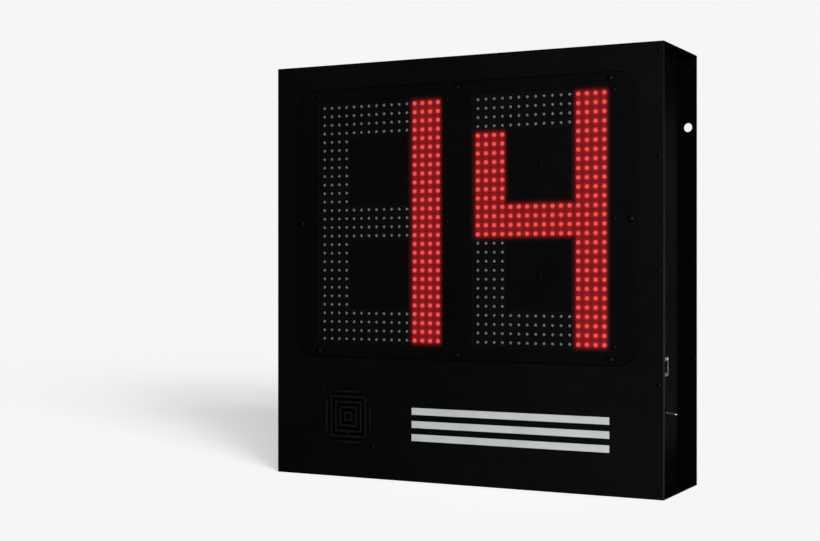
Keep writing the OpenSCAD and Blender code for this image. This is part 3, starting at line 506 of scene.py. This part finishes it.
print("building finishes")
blacks = dict(
    cabinet=dict(dark=(0.0022, 0.0022, 0.0023), light=(0.0034, 0.0034, 0.0036), rough=0.52, shine=0.06,
                 peel=900, cloud=5, bump=0.12),
    channel=dict(dark=(0.0085, 0.0086, 0.0092), light=(0.012, 0.0122, 0.0132), rough=0.46, shine=0.0,
                 peel=900, cloud=6, bump=0.12),
    plate=dict(dark=(0.0019, 0.0019, 0.002), light=(0.0029, 0.0029, 0.003), rough=0.5, shine=0.05,
               peel=1400, cloud=5, bump=0.08),
)
finishes = {
    "cabinet_black": powderCoat("cabinetPowder", blacks["cabinet"]),
    "channel_black": powderCoat("channelPowder", blacks["channel"], (mouthLight, overs["mouth"]),
                                (endShade, overs["ends"]), (deepShade, overs["deep"])),
    "plate_black": powderCoat("plateSatin", blacks["plate"]),
    "black_rivet": powderCoat("paintedRivet", dict(
        blacks["cabinet"], dark=(0.0006,) * 3, light=(0.0011,) * 3, shine=0.02, cloud=120)),
    "gasket_rubber": moulded("gasketFoam", dict(
        dark=(0.006,) * 3, light=(0.011,) * 3, rough=0.85, shine=0.2, grain=1500, bump=0.5)),
    "insert_plastic": moulded("insertPlastic", dict(
        dark=(0.008,) * 3, light=(0.016,) * 3, rough=0.5, shine=0.4, grain=2200, bump=0.15)),
    "switch_plastic": moulded("switchPlastic", dict(
        dark=(0.16, 0.01, 0.008), light=(0.23, 0.018, 0.014), rough=0.4, shine=0.5, grain=1600, bump=0.15)),
    "chip_black": moulded("chipEpoxy", dict(
        dark=(0.012,) * 3, light=(0.02,) * 3, rough=0.6, shine=0.4, grain=3000, bump=0.4)),
    "terminal_plastic": moulded("terminalPlastic", dict(
        dark=(0.015, 0.1, 0.03), light=(0.025, 0.14, 0.045), rough=0.4, shine=0.5, grain=1600, bump=0.1)),
    "capacitor_sleeve": moulded("capacitorSleeve", dict(
        dark=(0.01, 0.012, 0.05), light=(0.015, 0.02, 0.08), rough=0.3, shine=0.5, grain=900, bump=0.05)),
    "ribbon_grey": moulded("ribbonGrey", dict(
        dark=(0.2, 0.2, 0.21), light=(0.28, 0.28, 0.29), rough=0.5, shine=0.4, grain=500, bump=0.2)),
    "loom_black": moulded("loomSleeve", dict(
        dark=(0.008,) * 3, light=(0.016,) * 3, rough=0.55, shine=0.4, grain=1200, bump=0.3)),
    "lead_red": moulded("leadRed", dict(
        dark=(0.3, 0.01, 0.01), light=(0.4, 0.02, 0.018), rough=0.4, shine=0.5, grain=900, bump=0.1)),
    "rivet_metal": powderCoat("rivetPaint", dict(
        dark=(0.0006,) * 3, light=(0.0014,) * 3, rough=0.3, shine=0.14, peel=2000, cloud=150, bump=0.1)),
    "screw_steel": powderCoat("screwPaint", dict(
        dark=(0.0006, 0.0006, 0.0007), light=(0.0013, 0.0013, 0.0014), rough=0.45, shine=0.1,
        peel=1800, cloud=120, bump=0.12)),
    "connector_zinc": plated("connectorZinc", dict(
        dark=(0.5,) * 3, light=(0.8, 0.8, 0.79), rough=0.34, patch=180, drawn=1500, bump=0.12),
        (barrelShade, overs["barrel"])),
    "bushing_grey": plated("bushingGrey", dict(
        dark=(0.08,) * 3, light=(0.15,) * 3, rough=0.42, patch=180, drawn=2500, bump=0.12)),
    "nickel": plated("nickelPlate", dict(
        dark=(0.5, 0.5, 0.49), light=(0.78, 0.78, 0.76), rough=0.24, patch=180, drawn=2500, bump=0.12)),
    "pin_steel": plated("pinSteel", dict(
        dark=(0.4,) * 3, light=(0.55,) * 3, rough=0.3, patch=300, drawn=2500, bump=0.1)),
    "nut_black": plated("nutBlack", dict(
        dark=(0.006,) * 3, light=(0.014,) * 3, rough=0.36, patch=260, drawn=1200, bump=0.15)),
    "contact_brass": plated("contactBrass", dict(
        dark=(0.5, 0.36, 0.14), light=(0.75, 0.56, 0.25), rough=0.25, patch=400, drawn=2500, bump=0.08)),
    "copper": plated("coilCopper", dict(
        dark=(0.45, 0.16, 0.07), light=(0.65, 0.26, 0.12), rough=0.35, patch=300, drawn=4000, bump=0.6,
        stretch=(0.05, 1, 0.05))),
    "sounder_metal": plated("sounderMetal", dict(
        dark=(0.008,) * 3, light=(0.016,) * 3, rough=0.45, patch=60, drawn=900, bump=0.15)),
    "converter_metal": plated("converterMetal", dict(
        dark=(0.42,) * 3, light=(0.6,) * 3, rough=0.36, patch=25, drawn=700, bump=0.2)),
}

coneLook = dict(dark=(0.001, 0.001, 0.0011), light=(0.0022, 0.0022, 0.0024), fibre=1400, wisp=260, rough=0.75)


def coneFinish():
    # Pressed paper: fibres at two sizes under a matt dope
    f = Finish("conePaper", SpecularIORLevel=0.02)
    fibre = f.noise(coneLook["fibre"], 4, 0.75)
    wisp = f.noise(coneLook["wisp"], 5, 0.7)
    f.put(BaseColor=f.blend(wisp.step(0.35, 0.7), coneLook["dark"], coneLook["light"]),
          Roughness=fibre * 0.15 + coneLook["rough"])
    f.bump(fibre + wisp, 0.6, 0.15 * mm)
    return f


boardLook = dict(mask=(0.004, 0.045, 0.016), copper=(0.008, 0.085, 0.028), rough=0.42,
                 tracePitch=2.6 * mm, jog=3 * mm, pads=260)


def boardFinish():
    # Solder mask over copper: traces show as slightly raised and lighter bands, with pads between them
    f = Finish("solderMask", SpecularIORLevel=0.5)
    x, y, z = f.axes()
    jog = f.noise(22, 0, 0.5).step(0.48, 0.52) * boardLook["jog"]
    trace = abs(((x + jog) / boardLook["tracePitch"]).math("FRACT") - 0.5).step(0.26, 0.22)
    pad = f.cells(boardLook["pads"]).step(0.26, 0.2)
    copper = trace.most(pad)
    f.put(BaseColor=f.blend(copper, boardLook["mask"], boardLook["copper"]),
          Roughness=copper * -0.08 + boardLook["rough"])
    f.bump(copper, 0.5, 0.04 * mm)
    return f


stripeLook = dict(tone=(0.74, 0.765, 0.755), dull=(0.66, 0.685, 0.675), rough=0.5)


def stripeFinish():
    # Cut vinyl film: even tone, a faint weave of squeegee marks along its length
    f = Finish("stripeVinyl", SpecularIORLevel=0.4)
    marks = f.noise(240, 3, 0.6, (0.05, 1, 1))
    mottle = f.noise(18, 4, 0.55)
    f.put(BaseColor=f.blend(mottle.step(0.35, 0.75), stripeLook["tone"], stripeLook["dull"]),
          Roughness=(marks - 0.5) * 0.2 + stripeLook["rough"])
    f.bump(marks, 0.15, 0.03 * mm)
    return f


guardLook = dict(dark=(0.0075,) * 3, light=(0.0105,) * 3, rough=0.6, shine=0.03, grain=1800, bump=0.25,
                 front=(0.0068, 0.0072, 0.0072), behind=(0.0009, 0.0009, 0.001),
                 depthFrom=0.3 * mm, depth=1.4 * mm)


def guardFinish():
    # Moulded grain; the tone falls off with depth behind the rings' faces, as light does in a deep grille
    f = moulded("guardPlastic", guardLook)
    x, y, z = f.axes()
    sunk = (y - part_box("sounder_guard")[0].y).step(guardLook["depthFrom"], guardLook["depth"])
    flow = f.noise(35, 3, 0.5, (1, 1, 0.25))
    lit = f.blend(flow.step(0.3, 0.7), guardLook["front"], [1.3 * v for v in guardLook["front"]])
    f.put(BaseColor=f.blend(sunk, lit, guardLook["behind"]))
    return f


finishes["guard_plastic"] = guardFinish()
finishes["cone_paper"] = coneFinish()
finishes["circuit_board"] = boardFinish()
finishes["stripe_vinyl"] = stripeFinish()

# ---------- the lit strokes and their glow ----------

digits = dict(columns=16, rows=28, stroke=4, flange=2.9 * mm)
glow = dict(
    core=(1.0, 0.08, 0.08),         # the lit lens itself
    pale=(1.0, 0.088, 0.086),       # the same where the resin is cloudy
    rim=(0.74, 0.046, 0.046),       # its edge
    haze=(1.0, 0.032, 0.04),        # painted glow on the mask between the lamps, for the light they spill
    resin=(0.1, 0.004, 0.004),      # what the lens shows of the room's light
    level=0.115, fall=5 * mm,
    ring=0.16, ringIn=3 * mm, ringOut=10.5 * mm,
    lens=2.9 * mm, lensSoft=0.75 * mm,
)


def ledGrid(sideName):
    # First column's x, top row's z and the pitch, from the boxes of a digit's lamps
    boxes = [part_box(sideName + "_leds_lit"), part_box(sideName + "_leds_unlit")]
    low = Vector([min(b[0][i] for b in boxes) for i in range(3)])
    high = Vector([max(b[1][i] for b in boxes) for i in range(3)])
    pitch = (high.x - low.x - 2 * digits["flange"]) / (digits["columns"] - 1)
    return low.x + digits["flange"], high.z - digits["flange"], pitch


def strokeBox(grid, firstColumn, lastColumn, firstRow, lastRow):
    # Centre and half size of a block of lamps, as x, z, half width, half height
    x0, z0, pitch = grid
    return (x0 + (firstColumn + lastColumn) / 2 * pitch, z0 - (firstRow + lastRow) / 2 * pitch,
            (lastColumn - firstColumn) / 2 * pitch, (lastRow - firstRow) / 2 * pitch)


grids = {"left": ledGrid("left"), "right": ledGrid("right")}
lastColumn, lastRow, stroke = digits["columns"] - 1, digits["rows"] - 1, digits["stroke"]
barRow = (digits["rows"] - stroke) // 2
litStrokes = {
    "left": [strokeBox(grids["left"], lastColumn - stroke + 1, lastColumn, 0, lastRow)],
    "right": [strokeBox(grids["right"], lastColumn - stroke + 1, lastColumn, 0, lastRow),
              strokeBox(grids["right"], 0, lastColumn, barRow, barRow + stroke - 1),
              strokeBox(grids["right"], 0, stroke - 1, stroke, barRow)],
}


def strokeDistance(x, z, strokes):
    # Distance from the nearest lit stroke: the length of what lies outside a block, the least of all blocks
    nearest = None
    for cx, cz, halfW, halfH in strokes:
        dx = (abs(x - cx) - halfW).most(0)
        dz = (abs(z - cz) - halfH).most(0)
        d = (dx * dx + dz * dz).root()
        nearest = d if nearest is None else nearest.least(d)
    return nearest


def spill(distance):                                # a bell: exp(-(distance / fall) squared)
    share = distance / glow["fall"]
    return (share * share * -1).exp()


maskLook = dict(dark=(0.0026, 0.0026, 0.0028), light=(0.0036, 0.0037, 0.004), collar=(0.001,) * 3, rough=0.6,
                collarOut=4.4 * mm, collarIn=3.4 * mm, seamColumns=(3.5, 7.5, 11.5), seamOut=0.5 * mm,
                seamIn=0.15 * mm, litOut=3.6 * mm, litIn=3.0 * mm)


def maskFinish(sideName):
    # Matt black mask: seams between board quarters, and a painted glow (emission) for the light that lit
    # lamps spill round themselves
    f = Finish("mask" + sideName.capitalize(), SpecularIORLevel=0.06, EmissionStrength=1.0)
    x0, z0, pitch = grids[sideName]
    x, y, z = f.axes()
    grain = f.noise(1500, 3, 0.6)
    drift = f.noise(9, 3, 0.5)
    seam = None
    for column in maskLook["seamColumns"]:
        line = abs(x - (x0 + column * pitch)).step(maskLook["seamOut"], maskLook["seamIn"])
        seam = line if seam is None else seam.most(line)
    body = f.blend(drift.step(0.3, 0.7), maskLook["dark"], maskLook["light"])
    f.bump(grain * 0.3 - seam, 0.35, 0.08 * mm)
    u, v = (x - x0) / pitch, (z0 - z) / pitch
    du, dv = u - u.math("ROUND"), v - v.math("ROUND")
    radius = (du * du + dv * dv).root() * pitch
    # dark seams, and a dark collar round every lamp
    dim = seam.most(radius.step(maskLook["collarOut"], maskLook["collarIn"]))
    f.put(BaseColor=f.blend(dim, body, maskLook["collar"]),
          Roughness=(grain - 0.5) * 0.15 + maskLook["rough"])
    # painted glow: red emission fading from the lit strokes, brighter in a ring round each lamp, and full
    # lens red at each lit hole
    distance = strokeDistance(x, z, litStrokes[sideName])
    inside = distance.step(maskLook["litOut"], maskLook["litIn"])
    ring = radius.step(glow["ringOut"], glow["ringIn"]) * glow["ring"]
    hazeLevel = spill(distance) * (ring + glow["level"])
    haze = f.node("ShaderNodeVectorMath", dict(operation="SCALE"), {0: glow["haze"], "Scale": hazeLevel})
    lens = radius.step(glow["lens"] + glow["lensSoft"], glow["lens"] - glow["lensSoft"] / 3) * inside
    f.put(EmissionColor=f.blend(lens, haze, glow["core"]))
    return f


def facePlateFinish():
    # The satin plate with a painted glow (emission) along its window edges, for the faint light of the
    # strokes
    f = powderCoat("facePlateSatin", blacks["plate"])
    x, y, z = f.axes()
    distance = strokeDistance(x, z, litStrokes["left"] + litStrokes["right"])
    level = spill(distance) * (glow["level"] + glow["ring"] / 2)
    haze = f.node("ShaderNodeVectorMath", dict(operation="SCALE"), {0: glow["haze"], "Scale": level})
    f.put(EmissionStrength=1.0, EmissionColor=haze)
    return f


def litFinish():
    # Lit lens: red light that weakens from the crown to the rim, a little paler where the resin is cloudy
    f = Finish("litLens", Roughness=0.5, SpecularIORLevel=0.1, EmissionStrength=1.0, BaseColor=glow["resin"])
    cloudy = f.noise(900, 2, 0.5)
    crown = (f.axes()[1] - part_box("left_leds_lit")[0].y).step(2.4 * mm, 0.5 * mm)
    lens = f.blend(cloudy.step(0.35, 0.7), glow["core"], glow["pale"])
    f.put(EmissionColor=f.blend(crown, glow["rim"], lens))
    return f


unlitLook = dict(rim=(0.014, 0.016, 0.017), resin=(0.145, 0.165, 0.172), pale=(0.18, 0.2, 0.208), rough=0.4)


def unlitFinish():
    # Unlit lens: milky grey resin over the reflector cup, darker towards the rim of each lamp
    f = Finish("unlitLens", SpecularIORLevel=0.16)
    x, y, z = f.axes()
    cloudy = f.noise(1100, 2, 0.5)
    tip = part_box("left_leds_unlit")[0].y
    crown = (y - tip).step(2.4 * mm, 0.7 * mm)
    resin = f.blend(cloudy.step(0.3, 0.7), unlitLook["resin"], unlitLook["pale"])
    f.put(BaseColor=f.blend(crown, unlitLook["rim"], resin), Roughness=cloudy * 0.15 + unlitLook["rough"])
    return f


finishes["led_lit"] = litFinish()
finishes["led_unlit"] = unlitFinish()
finishes["mask_plastic"] = maskFinish("left")
rightMask = maskFinish("right")
facePlate = facePlateFinish()

# every CAD node takes its slot's finish first; the pieces below replace those that need a finer shape
for entry in frame["record"]["subparts"]:
    for slot in nodes[entry["node"]].material_slots:
        slot.material = finishes[entry["material_slot"]].material
for slot in nodes["right_mask"].material_slots:
    slot.material = rightMask.material
print("finishes assigned:", len(finishes))

# ---------- sheet metal and mouldings with softened edges ----------

soft = dict(sheet=0.3 * mm, plate=0.45 * mm, moulded=0.35 * mm, flange=0.4 * mm)
# front panel powder with a painted highlight on its side edges and a painted shadow round the face plate
frontPowder = powderCoat("frontPowder", blacks["cabinet"], (paintedEdgeHighlight, overs["edge"]),
                         (plateJointShadow, overs["gap"]))
softened("frontPanel", "front_panel", frontPowder, soft["sheet"])
for name, node in (("backPanel", "back_panel"), ("topPlate", "top_plate"), ("bottomPlate", "bottom_plate")):
    softened(name, node, finishes["cabinet_black"], soft["sheet"])
for name, node in (("leftChannel", "left_channel"), ("rightChannel", "right_channel")):
    softened(name, node, finishes["channel_black"], soft["sheet"])
softened("facePlate", "face_plate", facePlate, soft["plate"])
softened("windowSquares", "window_squares", facePlate, soft["plate"])
softened("sounderGuard", "sounder_guard", finishes["guard_plastic"], soft["moulded"])
softened("connectorFlange", "connector_shell", finishes["connector_zinc"], soft["flange"])
print("sheets and mouldings softened")

# ---------- lamps ----------

lamp5 = dict(sides=12, domeRings=(22, 46, 70), radius=2.5 * mm)


def lampShape(height):
    # A lamp from its board: flat foot, barrel and a round dome, turned about its axis
    r = lamp5["radius"]
    rings = np.radians(lamp5["domeRings"])
    dome = zip(r * np.cos(rings), height - r + r * np.sin(rings))
    points, faces = revolved([(0, 0), (r, 0), (r, height - r), *dome, (0, height)], lamp5["sides"])
    return toFront(points), faces


for sideName in ("left", "right"):
    for state in ("lit", "unlit"):
        node = sideName + "_leds_" + state
        boxes = islands(node)
        feet = boxes.mean(1)
        feet[:, 1] = boxes[:, 1, 1]
        tall = float(boxes[0, 1, 1] - boxes[0, 0, 1])
        newPiece(sideName + "Lamps" + state.capitalize(), repeated(lampShape(tall), feet),
                 finishes["led_" + state], [node])
print("lamps placed")

# ---------- screws and rivets ----------


def slottedHead(radius, height, slotWide, slotDeep, turn, shank, shankLength, across=14, along=11):
    # A pan head: height rises from the rim as an ellipse. Columns cross the disc at x, points on a column lie
    # at v times the half chord, and the slot is the band |x| < half its width, cut down by its depth.
    half, eps = slotWide / 2, 0.02 * mm              # the slot's walls lean by eps each way
    out = radius * np.sin(np.linspace(math.asin((half + eps) / radius), math.pi / 2, across))
    inner = np.array([half - eps, 0, -(half - eps)])
    x = np.concatenate([out[::-1], inner, -out])[:, None]
    v = np.sin(np.linspace(-math.pi / 2, math.pi / 2, along))[None, :]
    chord = np.sqrt(np.maximum(radius ** 2 - x ** 2, 0))
    y = v * chord
    far = np.minimum((x ** 2 + y ** 2) / radius ** 2, 1)
    rim = 0.42 * height
    top = rim + (height - rim) * np.sqrt(1 - far)
    top = np.where(np.abs(x) < half, np.minimum(top, height - slotDeep), top)
    base = np.zeros_like(x)
    rows = np.concatenate([np.stack([x, -chord, base], -1), np.stack([x + 0 * y, y, top], -1),
                           np.stack([x, chord, base], -1)], 1)
    head = rows.reshape(-1, 3), gridFaces(len(x), rows.shape[1], False, True)
    post = revolved([(0, 0), (shank, 0), (shank, -shankLength), (0, -shankLength)], 20)
    points, faces = joined(head, post)
    c, s = math.cos(turn), math.sin(turn)
    x, y, z = points.T
    return np.stack([c * x - s * y, s * x + c * y, z], -1), faces


def rivetHead(radius, height, hole, deep, sides=24):
    # A domed rivet: rim, a round shoulder, the crown and the mandrel's hole, turned about its axis
    shoulder = arc(radius - height * 0.75, height * 0.15, height * 0.75, 0, 80, 6)
    crown = [(hole + 0.15 * mm, height), (hole, height - 0.12 * mm), (hole * 0.92, height - deep),
             (0, height - deep * 0.9)]
    return revolved([(0, -0.1 * mm), (radius, -0.1 * mm), *shoulder, *crown], sides)


screws = dict(
    face=dict(radius=4.75 * mm, height=3.5 * mm, slotWide=1.2 * mm, slotDeep=1.5 * mm, turn=math.radians(-35),
              shank=2.5 * mm, shankLength=12.5 * mm),
    sounder=dict(radius=3.4 * mm, height=1.8 * mm, slotWide=0.8 * mm, slotDeep=0.8 * mm,
                 turn=math.radians(20), shank=2 * mm, shankLength=13 * mm),
    connector=dict(radius=2.3 * mm, height=1.0 * mm, slotWide=0.5 * mm, slotDeep=0.45 * mm,
                   turn=math.radians(50), shank=1.3 * mm, shankLength=7.6 * mm),
)


def seats(node, axis, rise):
    # Centres of a node's parts, moved to the plane that their heads sit on: front ones face -Y, side ones +X
    boxes = islands(node)
    middle = boxes.mean(1)
    middle[:, axis] = boxes[:, 0, axis] + rise if axis == 1 else boxes[:, 1, axis] - rise
    return middle


for key, turned, axis, slotName in (
        ("face", toFront, 1, "screw_steel"),
        ("sounder", toFront, 1, "screw_steel"),
        ("connector", toRight, 0, "nickel")):
    points, faces = slottedHead(**screws[key])
    node = key + "_screws"
    newPiece(key + "Screws", repeated((turned(points), faces), seats(node, axis, screws[key]["height"])),
             finishes[slotName], [node])

rivets = dict(digit=dict(radius=3.2 * mm, height=1.3 * mm, hole=0.88 * mm, deep=0.9 * mm),
              front=dict(radius=2.6 * mm, height=1.0 * mm, hole=0.7 * mm, deep=0.7 * mm))
for node, key in (("digit_rivets", "digit"), ("front_rivets", "front")):
    points, faces = rivetHead(**rivets[key])
    newPiece(key + "Rivets", repeated((toFront(points), faces), seats(node, 1, rivets[key]["height"])),
             finishes["rivet_metal"], [node])
print("screws and rivets placed")

# ---------- toggle switch ----------

toggle = dict(tilt=6, ball=2.2 * mm, neck=1.9 * mm, tip=2.1 * mm, tail=0.7 * mm, tailLength=7.5 * mm,
              threadPitch=0.75 * mm, threadDeep=0.22 * mm, chamfer=0.5 * mm, chamferDeep=0.35 * mm,
              mouth=0.37 * mm, bore=2.35 * mm, boreEnd=0.5 * mm)
pivot = centre("switch_pin")
bushLow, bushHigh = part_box("switch_bushing")


def leverShape():
    # A bat turned about its axis: tail, ball, a neck that swells with a smooth half-cosine, and a round end
    t = toggle
    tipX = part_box("switch_lever")[1].x - pivot.x
    length = (tipX - t["tip"]) / math.cos(math.radians(t["tilt"]))
    ballEnd = math.sqrt(t["ball"] ** 2 - t["neck"] ** 2)
    tailStart = math.sqrt(t["ball"] ** 2 - t["tail"] ** 2)
    ball = arc(0, 0, t["ball"], math.degrees(math.atan2(-tailStart, t["tail"])),
               math.degrees(math.atan2(ballEnd, t["neck"])), 12)
    s = np.linspace(0, 1, 18)[1:]
    swell = np.stack([t["neck"] + (t["tip"] - t["neck"]) * (0.75 * s + 0.25 * (1 - np.cos(math.pi * s)) / 2),
                      ballEnd + (length - ballEnd) * s], -1)
    end = arc(0, length, t["tip"], 0, 90, 10)[1:]
    tail = np.array([(0, -t["tailLength"]), (t["tail"] * 0.7, -t["tailLength"]),
                     (t["tail"], -t["tailLength"] + 0.3 * mm)])
    points, faces = revolved(np.concatenate([tail, ball, swell, end]), 32)
    points = toRight(points)
    a = math.radians(t["tilt"])
    turned = np.stack([points[:, 0] * math.cos(a) + points[:, 2] * math.sin(a), points[:, 1],
                       -points[:, 0] * math.sin(a) + points[:, 2] * math.cos(a)], -1)
    return turned + np.array(pivot), faces


def aroundPivot(r, x, turn):
    # Points at radius r and angle turn about the switch's own axis
    return np.stack([x, r * np.cos(turn) + pivot.y, r * np.sin(turn) + pivot.z], -1).reshape(-1, 3)


def bushingShape(sides=64, rows=96):
    # Outside: the radius falls by a rounded helical groove,
    # r = R - depth * (0.5 + 0.5 cos(2 pi x / pitch - angle)). Inside: a plain bore and a conical mouth.
    t = toggle
    radius, length = (bushHigh.z - bushLow.z) / 2, bushHigh.x - bushLow.x
    x = np.linspace(0, length, rows)[:, None]
    turn = (np.arange(sides) * 2 * math.pi / sides)[None, :]
    groove = t["threadDeep"] * (0.5 + 0.5 * np.cos(2 * math.pi * x / t["threadPitch"] - turn))
    ends = np.clip(np.minimum(x, length - x) / t["chamfer"], 0, 1)
    outer = radius - groove * ends - t["chamferDeep"] * (1 - ends)
    bend = pivot.x + t["boreEnd"] - bushLow.x
    inside = np.array([(radius - t["mouth"], length), (t["bore"], bend), (t["bore"], 0)])
    r = np.concatenate([outer, inside[:, :1] + 0 * turn])
    along = np.concatenate([x + 0 * turn, inside[:, 1:] + 0 * turn])
    return aroundPivot(r, along + bushLow.x, turn), gridFaces(len(r), sides, True, True)


def nutShape(node, bore, sides=72):
    # A hexagon whose corners a cone cuts back at both ends: the radius is the lesser of the two
    low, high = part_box(node)
    flats, thick = (high.y - low.y) / 2, high.x - low.x
    if high.z - low.z < high.y - low.y:
        flats = (high.z - low.z) / 2
    turn = (np.arange(sides) * 2 * math.pi / sides)[None, :]
    corner = 0 if high.y - low.y > high.z - low.z else math.pi / 6
    wedge = (turn - corner) % (math.pi / 3) - math.pi / 6
    hexagon = flats / np.cos(wedge)
    depth = np.array([0, 0.12, 0.3, 0.7, 0.88, 1])[:, None] * thick
    cone = flats + 0.02 * mm + 1.7 * np.minimum(depth, thick - depth)
    r = np.concatenate([np.minimum(hexagon, cone), np.full((2, sides), bore)])
    along = np.concatenate([depth, [[thick], [0]]]) + 0 * turn
    return aroundPivot(r, along + low.x, turn), gridFaces(len(r), sides, True, True)


newPiece("toggleLever", leverShape(), finishes["nickel"], ["switch_lever"], "lever")
newPiece("toggleBushing", bushingShape(), finishes["bushing_grey"], ["switch_bushing"])
nut = nutShape("switch_nut", (bushHigh.z - bushLow.z) / 2)
newPiece("toggleNut", nut, finishes["nut_black"], ["switch_nut"])
print("toggle switch built")

# ---------- connector ----------

pins = islands("connector_contacts")
pinRadius = float(pins[0, 1, 1] - pins[0, 0, 1]) / 2
pinLength = float(pins[0, 1, 0] - pins[0, 0, 0])
pinProfile = [(0, 0), (pinRadius, 0), (pinRadius, pinLength - pinRadius),
              *arc(0, pinLength - pinRadius, pinRadius, 20, 90, 5)]
points, faces = revolved(pinProfile, 16)
feet = pins.mean(1)
feet[:, 0] = pins[:, 0, 0]
pinShape = repeated((toRight(points), faces), feet)
newPiece("connectorPins", pinShape, finishes["contact_brass"], ["connector_contacts"])
print("connector built")
